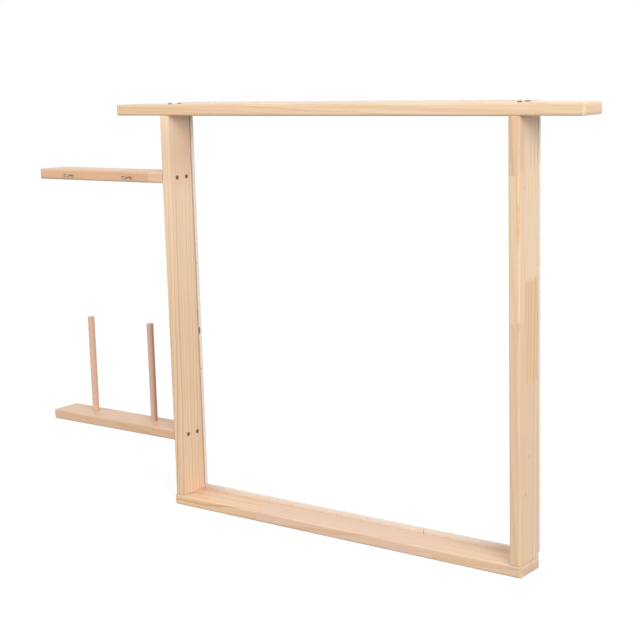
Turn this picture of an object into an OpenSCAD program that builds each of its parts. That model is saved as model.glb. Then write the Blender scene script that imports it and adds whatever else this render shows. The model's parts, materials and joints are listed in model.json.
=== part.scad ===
// Tufting frame with a yarn rack: four pine boards screwed into an upright
// rectangle, tack strips nailed to its back to hold the stretched cloth, and two
// boards off the left post, a shelf with pegs for the yarn cones and an arm with
// screw eyes that guide the yarn.
// Millimetres. X runs along the rails, Y towards the back, Z up. The origin is the
// middle of the underside of the bottom rail, where the frame stands.

/* [Frame] */
// Width over the two posts
frame_w = 740; // [500:5:1200]
// Height from the ground to the top of the top rail
frame_h = 750; // [700:5:1200]
// Length of top rail beyond each post
top_overhang = 108.5; // [5:0.5:200]
// Length of bottom rail beyond the left post
bottom_left_out = 4; // [0:0.5:10]
// Length of bottom rail beyond the right post
bottom_right_out = 3; // [0:0.5:10]

/* [Boards] */
// Thickness of every board
board_t = 20; // [17:0.5:24]
// Depth of every board, from the front to the back of the frame
board_d = 60; // [54:1:90]
// Rounding of the long edges
edge_r = 3.5; // [1:0.25:5]
// Rounding of the free ends as seen from the front
end_r = 6; // [3:0.5:8]
// Rounding of the corners of the free ends as seen from above
corner_r = 5; // [3:0.5:8]
// Easing of the ends that butt against another board
butt_r = 1.2; // [0.2:0.1:1.5]

/* [Yarn rack] */
// Length of the guide arm and of the yarn shelf
rack_len = 327; // [270:1:500]
// Distance from the top of the frame down to the guide arm
arm_drop = 122.5; // [60:0.5:200]
// Height of the underside of the yarn shelf
shelf_z = 125; // [80:0.5:180]

/* [Yarn pegs] */
// Diameter of a peg
peg_d = 13; // [10:0.5:20]
// Height of a peg above the shelf
peg_stand = 190; // [100:5:230]
// Depth of the blind socket that a peg stands in
socket_depth = 12; // [8:0.5:14]
// Radial clearance of a peg in the mouth of its socket
peg_gap = 0.05; // [0.02:0.01:0.1]
// Amount that the foot of a peg tapers in, all round, down to the socket floor
foot_taper = 0.25; // [0.05:0.05:0.5]
// Chamfer on the top of a peg
peg_chamfer = 0.4; // [0.2:0.1:1.5]
// Distance from the post to the first peg, and to the first screw eye
peg_inset = 82; // [50:1:110]
// Distance between the two pegs
peg_pitch = 160; // [100:1:170]
// Distance of the pegs behind the middle of the shelf
peg_back = 5; // [0:0.5:10]

/* [Screw eyes] */
// Thickness of the wire
eye_wire_d = 2.3; // [1.8:0.1:2.8]
// Outside diameter of the ring
eye_ring_d = 12; // [11:0.5:16]
// Distance from the board to the far side of the ring
eye_reach = 21; // [20:0.5:28]
// Length of screw inside the board
eye_screw_len = 14; // [8:0.5:20]
// Diameter of the screw at the root of its thread
eye_core_d = 1.8; // [1.2:0.1:1.8]
// Radial clearance of the screw in its hole
eye_gap = 0.05; // [0.02:0.01:0.1]
// Height of a screw eye above the underside of the guide arm
eye_rise = 9.5; // [7:0.5:12]
// Distance between the two screw eyes
eye_pitch = 155; // [100:1:170]
// Angle that a screw eye is left at, turned about its shank out of the horizontal
eye_tilt = 25; // [0:5:90]
// Angle of the open gap where the wire meets its own neck
eye_opening = 50; // [45:5:80]
// Radius of the bend between the shank and the ring
eye_neck_r = 2.5; // [2:0.1:3.5]

/* [Wood screws] */
// Length of a screw, head included
screw_len = 45; // [35:1:60]
// Diameter of the plain shank
screw_d = 4; // [3:0.25:4.5]
// Diameter of the screw at the root of its thread
screw_core_d = 2.8; // [2:0.1:2.9]
// Diameter of the countersunk head
screw_head_d = 8; // [7:0.25:9]
// Height of the cone under the head
screw_cone_h = 2.4; // [2:0.1:3]
// Height of the rim of the head
screw_rim_h = 0.5; // [0.3:0.1:0.8]
// Length of the point
screw_tip = 4; // [2:0.5:6]
// Diameter of the clearance hole in the first board
screw_hole_d = 4.6; // [4.6:0.1:5.2]
// Distance from the front of a board to its first screw
screw_inset = 19.5; // [12:0.5:20]
// Distance between the two screws of a joint
screw_pitch = 25; // [18:0.5:28]
// Depth of a screw head below the face of a post or of the bottom rail
head_sink = 0.3; // [0.1:0.1:1]
// Height of a screw head above the top rail
head_proud = 1.5; // [0.2:0.1:1.8]
// Width of the slots of the cross recess
recess_w = 0.9; // [0.6:0.1:1.2]
// Length of the slots of the cross recess
recess_len = 4.4; // [3:0.2:5]
// Depth of the cross recess
recess_depth = 1.6; // [0.8:0.1:2]
// Radial clearance round whatever is driven into wood
drive_gap = 0.05; // [0.02:0.01:0.1]

/* [Tack strips] */
// Width of a strip
strip_w = 25; // [22:0.5:30]
// Thickness of a strip
strip_t = 7; // [5:0.5:9]
// Bevel along the outer back edge of a strip
strip_bevel = 1.2; // [0.5:0.1:1.5]
// Height of the top strip above the top rail
top_strip_rise = 2; // [0:0.5:5]
// Height of the bottom strip above the ground
bottom_strip_lift = 2; // [2:0.5:6]
// Length of the longer piece of the bottom strip
bottom_long_len = 517; // [300:1:560]
// Gap between the two pieces of the bottom strip
bottom_seam = 2; // [0.5:0.5:6]
// Distance from the right end of the bottom strip to the side of the frame
bottom_strip_inset = 3; // [0:0.5:10]
// Width of left strip that shows inside the frame
left_strip_in = 1; // [0:0.5:3]
// Width of right strip that shows outside the frame
right_strip_out = 0.5; // [0:0.5:5]
// Gap between the ends of the side strips and the other strips
corner_gap = 0.5; // [0.5:0.5:6]

/* [Pins and nails] */
// Diameter of a pin
pin_d = 1.5; // [1:0.1:1.8]
// Length of a pin outside its strip
pin_reach = 7; // [4:0.5:9]
// Length of the point of a pin
pin_tip = 2.5; // [1.5:0.5:4]
// Lean of the pins, away from the middle of the frame
pin_lean = 35; // [20:1:40]
// Distance between the pins of a row
pin_pitch = 105; // [80:1:120]
// Distance from the end of a strip to the first pin of the outer row
pin_start = 72; // [65:1:80]
// Distance from the outer edge of the top or bottom strip to its outer row of pins
pin_inset = 3; // [2.5:0.25:4]
// Distance from the outer edge of a side strip to its outer row of pins
side_pin_inset = 8.5; // [2.5:0.5:12]
// Distance between the two rows of pins
row_gap = 9; // [7:0.5:12]
// Diameter of a nail
nail_d = 1.8; // [1.2:0.1:2.2]
// Length of a nail under its head
nail_len = 18; // [14:0.5:18]
// Length of the point of a nail
nail_tip = 2; // [1:0.5:3]
// Diameter of the head of a nail
nail_head_d = 4.2; // [3:0.2:5]
// Height of the head of a nail
nail_head_h = 0.7; // [0.5:0.1:1]

/* [Hidden] */
$fn = 32;

// Cuts run past the faces that they open by this much
over = 1;
// The neck of a screw eye is drawn down this much, and runs this far, in degrees,
// into the thicker wire at both of its ends
neck_draw = 0.06;
neck_lap = 5;

pine = "#e8c79d";
beech = "#dcb48e";
plywood = "#d9b98b";
zinc = "#c9ccd0";
bronzed = "#5a4738";
bright = "#b4b6b8";

side_x = frame_w / 2;
inner_x = side_x - board_t;
post_x = side_x - board_t / 2;
post_len = frame_h - 2 * board_t;
top_rail_len = frame_w + 2 * top_overhang;
front_y = -board_d / 2;
back_y = board_d / 2;
screw_ys = [front_y + screw_inset, front_y + screw_inset + screw_pitch];
arm_z = frame_h - arm_drop - board_t;
arm_mid_z = arm_z + board_t / 2;
shelf_mid_z = shelf_z + board_t / 2;
eye_z = arm_z + eye_rise;
shelf_top_z = shelf_z + board_t;

side_strip_z = bottom_strip_lift + strip_w + corner_gap;
side_strip_len = frame_h + top_strip_rise - strip_w - corner_gap - side_strip_z;
bottom_short_x = -side_x + bottom_long_len + bottom_seam;
bottom_short_len = side_x - bottom_strip_inset - bottom_short_x;
nail_start = pin_start - pin_pitch / 4;

// X of a peg and of a screw eye: place 0 is next to the post and 1 is the outer one
function peg_x(place) = -side_x - peg_inset - place * peg_pitch;
function eye_x(place) = -side_x - peg_inset - place * eye_pitch;

// ---------------------------------------------------------------- boards

// Rectangle from x = 0 to w, centred on y, with its own corner radius at each end
module eased_rect(w, h, r_start, r_end) {
    translate([r_start, -h / 2]) square([w - r_start - r_end, h]);
    translate([0, -h / 2 + r_start]) square([r_start, h - 2 * r_start]);
    translate([w - r_end, -h / 2 + r_end]) square([r_end, h - 2 * r_end]);
    for (side = [-1, 1]) {
        translate([r_start, side * (h / 2 - r_start)]) circle(r_start);
        translate([w - r_end, side * (h / 2 - r_end)]) circle(r_end);
    }
}

// A length of board along X, its depth centred on Y and its underside at z = 0.
// Its start is a free end or butts against another board, and so does its far end.
module board(len, free_start, free_end) {
    intersection() {
        translate([0, 0, board_t / 2]) rotate([90, 0, 90]) linear_extrude(len)
            translate([-board_d / 2, 0]) eased_rect(board_d, board_t, edge_r, edge_r);
        linear_extrude(board_t) eased_rect(len, board_d, free_start ? corner_r : butt_r,
                                           free_end ? corner_r : butt_r);
        translate([0, board_d / 2, board_t / 2]) rotate([90, 0, 0]) linear_extrude(board_d)
            eased_rect(len, board_t, free_start ? end_r : butt_r, free_end ? end_r : butt_r);
    }
}

// Stands a board on its end: along X becomes up, and its underside faces +X
module upright() rotate([0, -90, 0]) children();

// A board of the yarn rack, from the left post outwards
module rack_board(z) translate([-side_x, 0, z]) rotate(180) board(rack_len, false, true);

// ---------------------------------------------------------------- wood screws

// Places for screws: the head lies at z = 0 of each place and the screw points to -Z
module top_screws(side) for (y = screw_ys) translate([side * post_x, y, frame_h]) children();
module bottom_screws(side) for (y = screw_ys) translate([side * post_x, y, 0])
    rotate([180, 0, 0]) children();
module rack_screws(z) for (y = screw_ys) translate([-inner_x, y, z]) rotate([0, 90, 0]) children();

// Countersunk wood screw with a cross recess; sink is the depth of its head
module wood_screw(sink) {
    cone_top = -sink - screw_rim_h;
    cone_foot = cone_top - screw_cone_h;
    tip_z = -sink - screw_len;
    difference() {
        union() {
            translate([0, 0, cone_top]) cylinder(h = screw_rim_h, d = screw_head_d);
            translate([0, 0, cone_foot]) cylinder(h = screw_cone_h, d1 = screw_d, d2 = screw_head_d);
            translate([0, 0, -board_t]) cylinder(h = board_t + cone_foot, d = screw_d);
            translate([0, 0, tip_z + screw_tip])
                cylinder(h = -board_t - tip_z - screw_tip, d = screw_core_d);
            translate([0, 0, tip_z]) cylinder(h = screw_tip, d1 = screw_core_d / 6, d2 = screw_core_d);
        }
        for (turn = [0, 90]) rotate(turn)
            translate([-recess_len / 2, -recess_w / 2, -sink - recess_depth])
                cube([recess_len, recess_w, recess_depth + over]);
    }
}

// Clearance hole and countersink through the first board
module clearance_hole(sink) {
    cone_top = -sink - screw_rim_h;
    cone_foot = cone_top - screw_cone_h;
    wide_d = screw_head_d + 2 * drive_gap;
    translate([0, 0, cone_top]) cylinder(h = screw_rim_h + abs(sink) + over, d = wide_d);
    translate([0, 0, cone_foot]) cylinder(h = screw_cone_h, d1 = screw_d + 2 * drive_gap, d2 = wide_d);
    translate([0, 0, -board_t - over]) cylinder(h = board_t + over, d = screw_hole_d);
}

// Pilot hole in the second board
module pilot_hole(sink) translate([0, 0, -sink - screw_len - drive_gap])
    cylinder(h = screw_len + sink + drive_gap - board_t + over, d = screw_core_d + 2 * drive_gap);

// ---------------------------------------------------------------- tack strips

// A strip lies along X with its inner edge at z = 0 and its wood side at y = 0.
// These put it on the back of the frame with its outer edge away from the middle.
module on_top() translate([-side_x, back_y, frame_h + top_strip_rise - strip_w]) children();
module on_bottom(x) translate([x, back_y, bottom_strip_lift + strip_w]) mirror([0, 0, 1]) children();
module on_left() translate([-inner_x + left_strip_in, back_y, side_strip_z]) upright() children();
module on_right() translate([side_x + right_strip_out - strip_w, back_y, side_strip_z])
    mirror([1, 0, 0]) upright() children();

// Places for pins: two staggered rows, each with a pin every pin_pitch
module pin_places(len, inset) for (row = [0, 1])
    for (x = [pin_start - row * pin_pitch / 2 : pin_pitch : len - nail_head_d])
        translate([x, strip_t, strip_w - inset - row * row_gap]) rotate([pin_lean - 90, 0, 0])
            children();

// Places for nails, half way between neighbouring pins
module nail_places(len) for (x = [nail_start : pin_pitch : len - nail_head_d])
    translate([x, strip_t, strip_w / 2]) rotate([-90, 0, 0]) children();

// Length of the stretch of pin inside its strip, and a little more
function pin_root() = strip_t / cos(pin_lean) + pin_d;

// Straight length of a pin, thicker all round by a clearance
module pin_shank(gap) translate([0, 0, -pin_root()])
    cylinder(h = pin_root() + pin_reach - pin_tip, d = pin_d + 2 * gap);

// Pins of a strip, cut flush with its wood side
module strip_pins(len, inset) color(bright) intersection() {
    pin_places(len, inset) {
        pin_shank(0);
        translate([0, 0, pin_reach - pin_tip]) cylinder(h = pin_tip, d1 = pin_d, d2 = pin_d / 6);
    }
    cube([len, strip_t + pin_reach, strip_w + pin_reach]);
}

// Nail with a flat head that rests on the strip
module nail() {
    cylinder(h = nail_head_h, d = nail_head_d);
    translate([0, 0, nail_tip - nail_len]) cylinder(h = nail_len - nail_tip, d = nail_d);
    translate([0, 0, -nail_len]) cylinder(h = nail_tip, d1 = nail_d / 4, d2 = nail_d);
}
module nail_hole() translate([0, 0, -nail_len - drive_gap])
    cylinder(h = nail_len + drive_gap, d = nail_d + 2 * drive_gap);

// Plywood strip, bevelled along its outer back edge and drilled for pins and nails
module tack_strip(len, inset) color(plywood) difference() {
    rotate([90, 0, 90]) linear_extrude(len)
        polygon([[0, 0], [strip_t, 0], [strip_t, strip_w - strip_bevel],
                 [strip_t - strip_bevel, strip_w], [0, strip_w]]);
    pin_places(len, inset) pin_shank(drive_gap);
    nail_places(len) translate([0, 0, -strip_t - over])
        cylinder(h = strip_t + 2 * over, d = nail_d + 2 * drive_gap);
}

// Nails of all the strips
module strip_nails() color(bright) {
    on_top() nail_places(frame_w) nail();
    on_bottom(-side_x) nail_places(bottom_long_len) nail();
    on_bottom(bottom_short_x) nail_places(bottom_short_len) nail();
    on_left() nail_places(side_strip_len) nail();
    on_right() nail_places(side_strip_len) nail();
}

// ---------------------------------------------------------------- pieces

module bottom_rail() color(pine) difference() {
    translate([-side_x - bottom_left_out, 0, 0])
        board(bottom_left_out + frame_w + bottom_right_out, true, true);
    for (side = [-1, 1]) bottom_screws(side) clearance_hole(head_sink);
    on_bottom(-side_x) nail_places(bottom_long_len) nail_hole();
    on_bottom(bottom_short_x) nail_places(bottom_short_len) nail_hole();
}

module top_rail() color(pine) difference() {
    translate([-top_rail_len / 2, 0, frame_h - board_t]) board(top_rail_len, true, true);
    for (side = [-1, 1]) top_screws(side) clearance_hole(-head_proud);
    on_top() nail_places(frame_w) nail_hole();
}

module left_post() color(pine) difference() {
    translate([-inner_x, 0, board_t]) upright() board(post_len, false, false);
    top_screws(-1) pilot_hole(-head_proud);
    bottom_screws(-1) pilot_hole(head_sink);
    for (z = [arm_mid_z, shelf_mid_z]) rack_screws(z) clearance_hole(head_sink);
    on_left() nail_places(side_strip_len) nail_hole();
}

module right_post() color(pine) difference() {
    translate([side_x, 0, board_t]) upright() board(post_len, false, false);
    top_screws(1) pilot_hole(-head_proud);
    bottom_screws(1) pilot_hole(head_sink);
    on_right() nail_places(side_strip_len) nail_hole();
}

module guide_arm() color(pine) difference() {
    rack_board(arm_z);
    rack_screws(arm_mid_z) pilot_hole(head_sink);
    for (place = [0, 1]) translate([eye_x(place), front_y - over, eye_z]) rotate([-90, 0, 0])
        cylinder(h = eye_screw_len + eye_gap + over, d = eye_core_d + 2 * eye_gap);
}

module yarn_shelf() color(pine) difference() {
    rack_board(shelf_z);
    rack_screws(shelf_mid_z) pilot_hole(head_sink);
    for (place = [0, 1]) translate([peg_x(place), peg_back, shelf_top_z - socket_depth])
        cylinder(h = socket_depth + over, d = peg_d + 2 * peg_gap);
}

// Dowel peg that stands loose in its socket, on a foot that tapers slightly
module yarn_peg(place) color(beech) translate([peg_x(place), peg_back, shelf_top_z]) {
    translate([0, 0, -socket_depth])
        cylinder(h = socket_depth, d1 = peg_d - 2 * foot_taper, d2 = peg_d);
    cylinder(h = peg_stand - peg_chamfer, d = peg_d);
    translate([0, 0, peg_stand - peg_chamfer])
        cylinder(h = peg_chamfer, d1 = peg_d, d2 = peg_d - 2 * peg_chamfer);
}

// Screw eye bent from one wire: the shank leaves the board along -Y, swings aside
// in a neck and comes back round in a ring that is centred on the shank
module screw_eye(place) color(zinc) translate([eye_x(place), front_y, eye_z])
    rotate([0, eye_tilt, 0]) rotate(180) {
    bend_r = (eye_ring_d - eye_wire_d) / 2;
    ring_y = eye_reach - eye_ring_d / 2;
    neck_y = ring_y - sqrt(bend_r * bend_r + 2 * bend_r * eye_neck_r);
    swing = acos(eye_neck_r / (bend_r + eye_neck_r));
    translate([0, -eye_screw_len, 0]) rotate([-90, 0, 0])
        cylinder(h = eye_screw_len + over, d = eye_core_d);
    rotate([-90, 0, 0]) cylinder(h = neck_y, d = eye_wire_d);
    translate([eye_neck_r, neck_y, 0]) rotate(180 - swing - neck_lap)
        rotate_extrude(angle = swing + 2 * neck_lap)
            translate([eye_neck_r, 0]) circle(d = eye_wire_d - 2 * neck_draw);
    translate([0, ring_y, 0]) rotate(-swing) rotate_extrude(angle = 360 - eye_opening)
        translate([bend_r, 0]) circle(d = eye_wire_d);
}

bottom_rail();
top_rail();
left_post();
right_post();
guide_arm();
yarn_shelf();
yarn_peg(0);  // yarn_peg_inner
yarn_peg(1);  // yarn_peg_outer
screw_eye(0);  // screw_eye_inner
screw_eye(1);  // screw_eye_outer
on_top() tack_strip(frame_w, pin_inset);  // top_tack_strip
on_bottom(-side_x) tack_strip(bottom_long_len, pin_inset);  // bottom_tack_strip_long
on_bottom(bottom_short_x) tack_strip(bottom_short_len, pin_inset);  // bottom_tack_strip_short
on_left() tack_strip(side_strip_len, side_pin_inset);  // left_tack_strip
on_right() tack_strip(side_strip_len, side_pin_inset);  // right_tack_strip
on_top() strip_pins(frame_w, pin_inset);  // top_strip_pins
on_bottom(-side_x) strip_pins(bottom_long_len, pin_inset);  // bottom_long_pins
on_bottom(bottom_short_x) strip_pins(bottom_short_len, pin_inset);  // bottom_short_pins
on_left() strip_pins(side_strip_len, side_pin_inset);  // left_strip_pins
on_right() strip_pins(side_strip_len, side_pin_inset);  // right_strip_pins
strip_nails();
color(bronzed) top_screws(-1) wood_screw(-head_proud);  // top_left_screws
color(bronzed) top_screws(1) wood_screw(-head_proud);  // top_right_screws
color(bronzed) bottom_screws(-1) wood_screw(head_sink);  // bottom_left_screws
color(bronzed) bottom_screws(1) wood_screw(head_sink);  // bottom_right_screws
color(bronzed) rack_screws(arm_mid_z) wood_screw(head_sink);  // guide_arm_screws
color(bronzed) rack_screws(shelf_mid_z) wood_screw(head_sink);  // yarn_shelf_screws
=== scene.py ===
# %% [markdown]
# # A tufting frame with its yarn rack
# A tufting frame holds a cloth as tight as a drum while a hand-held tufting gun shoots yarn
# through it. This one is four pine boards screwed into an upright rectangle, strips of
# plywood with slanted pins on its back that grip the cloth, and two boards off the left
# post: a shelf with pegs for cones of yarn, and an arm with two screw eyes that guide it.
#
# The solids come from a CAD model, and this lesson dresses them. A CAD solid whose shape is
# right keeps its mesh and gets a finish. The small hardware, where the shape itself catches
# the eye, is modelled again by hand and stands in for the plain solids.

# %% Load the frame
import json
import math
import bmesh
import bpy
from mathutils import Euler, Matrix, Vector


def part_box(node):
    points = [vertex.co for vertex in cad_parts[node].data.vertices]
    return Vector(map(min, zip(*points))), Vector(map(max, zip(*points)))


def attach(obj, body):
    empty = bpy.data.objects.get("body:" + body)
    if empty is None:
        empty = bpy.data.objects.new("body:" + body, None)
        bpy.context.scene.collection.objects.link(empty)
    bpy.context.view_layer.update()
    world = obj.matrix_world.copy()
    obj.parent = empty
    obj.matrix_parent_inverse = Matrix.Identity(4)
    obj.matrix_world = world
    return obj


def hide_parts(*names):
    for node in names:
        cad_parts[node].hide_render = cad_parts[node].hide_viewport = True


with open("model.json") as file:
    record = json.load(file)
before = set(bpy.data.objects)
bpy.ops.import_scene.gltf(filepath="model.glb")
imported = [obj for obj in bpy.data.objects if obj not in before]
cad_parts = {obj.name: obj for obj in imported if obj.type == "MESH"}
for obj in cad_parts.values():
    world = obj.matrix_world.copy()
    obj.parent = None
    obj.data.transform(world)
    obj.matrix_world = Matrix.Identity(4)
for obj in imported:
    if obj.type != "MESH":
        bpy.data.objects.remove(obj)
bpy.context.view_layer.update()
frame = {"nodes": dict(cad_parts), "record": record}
nodes = frame["nodes"]

# %% [markdown]
# ## The camera
# The camera stands in front of the frame and to its right, a little above the top rail, and
# looks down and to the left. A long lens from over two metres away keeps the boards nearly
# parallel. It could be aimed with a Track To constraint, but the view is also rolled by a
# degree and a half, so three plain turns are clearer: roll about the line of sight, tip
# from straight down to nearly level, then turn to the left.

# %% Set the camera
# The place is in metres and the three turns in radians
CAMERA_PLACE = (1.4476, -1.9451, 0.8165)
CAMERA_LEFT = 0.65265
CAMERA_DOWN = 0.177
CAMERA_ROLL = -0.027
LENS_MM = 80.87
SENSOR_MM = 36

camera_data = bpy.data.cameras.new("studio_camera")
camera_data.lens = LENS_MM
camera_data.sensor_width = SENSOR_MM
camera = bpy.data.objects.new("studio_camera", camera_data)
bpy.context.scene.collection.objects.link(camera)
turn_left = Euler((0, 0, CAMERA_LEFT)).to_matrix()
tip_down = Euler((math.pi / 2 - CAMERA_DOWN, 0, 0)).to_matrix()
roll = Euler((0, 0, CAMERA_ROLL)).to_matrix()
camera.matrix_world = Matrix.Translation(CAMERA_PLACE) @ (turn_left @ tip_down @ roll).to_4x4()
bpy.context.scene.camera = camera
print("camera is", round(Vector(CAMERA_PLACE).length, 2), "m from the foot of the frame")

# %% [markdown]
# ## Three small helpers for materials
# Colours are chosen on a screen, so they are written as the hex values that a screen
# uses. Blender mixes light in linear values, and one function turns the first into the
# second. The next helper adds one shader node, with its settings and with what goes into
# each socket, which is either a plain value or another node's output. The last one starts
# a material with no nodes in it, so that every node in this lesson is one that it added.
#
# Sockets go by their number where a node has several of one name. A Map Range takes its
# input as 0, the range that it comes from as 1 and 2, and the range that it goes to as 3
# and 4. A Mix takes its share as 0, two values as 2 and 3, or two colours as 6 and 7.

# %% Colour, node and material helpers
def colour(hex_value):
    """Linear colour of a hex value such as "e8c9a6"."""
    parts = [int(hex_value[i:i + 2], 16) / 255 for i in (0, 2, 4)]
    linear = [p / 12.92 if p <= 0.04045 else ((p + 0.055) / 1.055) ** 2.4 for p in parts]
    return (*linear, 1)


def add(tree, kind, sockets=None, **settings):
    """Adds a shader node; a socket takes a value, a hex colour, a node or one of its outputs."""
    node = tree.nodes.new("ShaderNode" + kind)
    for name, value in settings.items():
        setattr(node, name, value)
    for name, value in (sockets or {}).items():
        if isinstance(value, str):
            value = colour(value)
        if isinstance(value, bpy.types.Node):
            value = next(output for output in value.outputs if output.enabled)
        if isinstance(value, bpy.types.NodeSocket):
            tree.links.new(value, node.inputs[name])
        else:
            node.inputs[name].default_value = value
    return node


def new_material(name):
    """An empty material; gives the material and its node tree."""
    material = bpy.data.materials.new(name)
    material.use_nodes = True
    material.node_tree.nodes.clear()
    return material, material.node_tree


print("pale pine in linear values:", [round(c, 3) for c in colour("e8c9a6")])

# %% [markdown]
# ## The rings of a pine
# The boards are nearly knot-free pine. What the eye reads is the tree's growth rings: pale
# early wood, then a thin orange-brown line of late wood that ends sharply. Grain painted
# flat would smear round the edges, so the rings are drawn in space, as cylinders round the
# heart of the tree, which lies outside the board and runs along it. Each face then cuts
# them as a saw does: straight lines on one face, long flames on the next and arcs on the
# end.
#
# Blender's Wave texture draws rings too, but all alike, which looks like corduroy. Here
# each point works out its distance from the heart, counted in rings. The whole part is the
# number of its ring, which picks how dark that year's late wood is, and the rest says how
# far through the year it lies. A slow noise added first makes fat years and lean ones.

# %% Count the rings
RING_GAP = 0.0048
TRUNK_TAPER = 0.022
# Noise cells in each metre, along the board and twice across it: 250 mm long, 70 mm wide.
# They push the rings aside by up to 10 mm
SWAY_CELLS = (4.0, 14, 14)
SWAY = (0, 0.010, 0.010)
# Fat and lean years take turns every 14 mm or so, and shift a ring by up to 2.6 rings
YEAR_CELLS = 70.0
YEAR_SWING = 2.6


def ring_count(tree, turned, jump, heart):
    """How many rings lie between a point and the heart of its tree."""
    wide = add(tree, "Mapping", {"Vector": turned, "Scale": SWAY_CELLS})
    sway = add(tree, "TexNoise", {"Vector": wide, "Scale": 1.0, "Detail": 4.0, "Roughness": 0.55})
    bent = add(tree, "VectorMath", {0: sway.outputs["Color"], 1: SWAY, 2: turned},
               operation="MULTIPLY_ADD")
    moved = add(tree, "VectorMath", {0: bent, 1: jump})
    centred = add(tree, "Mapping", {"Vector": moved, "Location": (0, -heart[0], -heart[1]),
                                    "Scale": (0, 1, 1)})
    radius = add(tree, "VectorMath", {0: centred}, operation="LENGTH")
    # A trunk is a cone, so its rings lie slightly aslant to the board
    parts = add(tree, "SeparateXYZ", {0: turned})
    distance = add(tree, "Math", {0: parts.outputs[0], 1: TRUNK_TAPER, 2: radius.outputs["Value"]},
                   operation="MULTIPLY_ADD")
    spread = add(tree, "Math", {0: distance, 1: YEAR_CELLS}, operation="MULTIPLY")
    years = add(tree, "TexNoise", {"W": spread, "Scale": 1.0}, noise_dimensions="1D")
    even = add(tree, "Math", {0: distance, 1: RING_GAP}, operation="DIVIDE")
    return add(tree, "Math", {0: years, 1: YEAR_SWING, 2: even}, operation="MULTIPLY_ADD")


print("a ring every", 1000 * RING_GAP, "mm, and a taper of", 1000 * TRUNK_TAPER, "mm in each metre")

# %% Darken the late wood
# Where the late wood of a year starts, is darkest and ends, as shares of that year
LATE_START, LATE_DARKEST, LATE_END = 0.35, 0.86, 0.97
PALEST_YEAR = 0.35
# Keeps the years of one glued length apart from those of the next
YEARS_APART = 31.7


def late_wood_at(tree, count, number):
    """How far a point is into the dark late wood of its ring, from 0 to 1."""
    ring = add(tree, "Math", {0: count}, operation="FLOOR")
    seeded = add(tree, "Math", {0: number, 1: YEARS_APART, 2: ring}, operation="MULTIPLY_ADD")
    year = add(tree, "TexWhiteNoise", {"W": seeded}, noise_dimensions="1D")
    through = add(tree, "Math", {0: count}, operation="FRACT")
    late = add(tree, "ValToRGB", {0: through})
    ramp = late.color_ramp
    ramp.interpolation = "EASE"
    ramp.elements[0].position, ramp.elements[0].color = LATE_START, (0, 0, 0, 1)
    ramp.elements[1].position, ramp.elements[1].color = LATE_DARKEST, (1, 1, 1, 1)
    ramp.elements.new(LATE_END).color = (0, 0, 0, 1)
    strength = add(tree, "Math", {0: year.outputs["Value"], 1: 1 - PALEST_YEAR, 2: PALEST_YEAR},
                   operation="MULTIPLY_ADD")
    return add(tree, "Math", {0: late.outputs["Color"], 1: strength}, operation="MULTIPLY")


print("late wood is", round(100 * (LATE_END - LATE_START)), "% of a year")

# %% [markdown]
# ## Finger joints
# Long clear boards are dear, so a mill glues them up from short lengths whose ends are cut
# into fingers. Each length comes from another tree, with its own tint and its own boldness
# of line, and a random number that changes at each joint moves the heart. The fingers
# zigzag on the wide faces and make a straight line on the narrow ones, so a zigzag across
# the depth of the board is added to the place along it before the lengths are told apart.
# A board can also be two strips glued edge to edge, with the joints of the rear strip
# elsewhere than the joints of the front one, and the right post is.

# %% Glued lengths
FINGER_PITCH = 0.004
FINGER_LENGTH = 0.009
GLUE_LINE = 0.0003


def glued_lengths(tree, along, depth, lengths, seed):
    """Number, tint and boldness of the length that a point is in, and 1 on the glue lines."""
    zigzag = add(tree, "Math", {0: depth, 1: FINGER_PITCH / 2}, operation="PINGPONG")
    reach = add(tree, "Math", {0: zigzag, 1: 2 * FINGER_LENGTH / FINGER_PITCH, 2: along},
                operation="MULTIPLY_ADD")
    number, glue = seed, 0.0
    tint, bold = lengths[0][1:]
    for start, next_tint, next_bold in lengths[1:]:
        past = add(tree, "Math", {0: reach, 1: start}, operation="GREATER_THAN")
        number = add(tree, "Math", {0: past, 1: number})
        tint = add(tree, "Mix", {0: past, 6: tint, 7: next_tint}, data_type="RGBA")
        bold = add(tree, "Mix", {0: past, 2: bold, 3: next_bold})
        near = add(tree, "Math", {0: reach, 1: start, 2: GLUE_LINE}, operation="COMPARE")
        glue = add(tree, "Math", {0: near, 1: glue}, operation="MAXIMUM")
    return number, tint, bold, glue


print("fingers are", 1000 * FINGER_LENGTH, "mm long and glue lines", 2000 * GLUE_LINE, "mm wide")

# %% Two strips edge to edge
# Where the joint lies in the depth of the frame
EDGE_JOINT = -0.013
# Gives the rear strip trees of its own
REAR_SEED = 500.0


def glued_strips(tree, turned, lengths, rear, seed):
    """As glued_lengths, with the lengths of a rear strip behind the edge joint, if there is one."""
    parts = add(tree, "SeparateXYZ", {0: turned})
    number, tint, bold, glue = glued_lengths(tree, parts.outputs[0], parts.outputs[1], lengths, seed)
    if rear:
        other = glued_lengths(tree, parts.outputs[0], parts.outputs[1], rear, seed + REAR_SEED)
        behind = add(tree, "Math", {0: parts.outputs[1], 1: EDGE_JOINT}, operation="GREATER_THAN")
        number = add(tree, "Mix", {0: behind, 2: number, 3: other[0]})
        tint = add(tree, "Mix", {0: behind, 6: tint, 7: other[1]}, data_type="RGBA")
        bold = add(tree, "Mix", {0: behind, 2: bold, 3: other[2]})
        glue = add(tree, "Mix", {0: behind, 2: glue, 3: other[3]})
    return number, tint, bold, glue


front_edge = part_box("right_post")[0][1]
print("the front strip is", round(1000 * (EDGE_JOINT - front_edge)), "mm deep")
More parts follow.
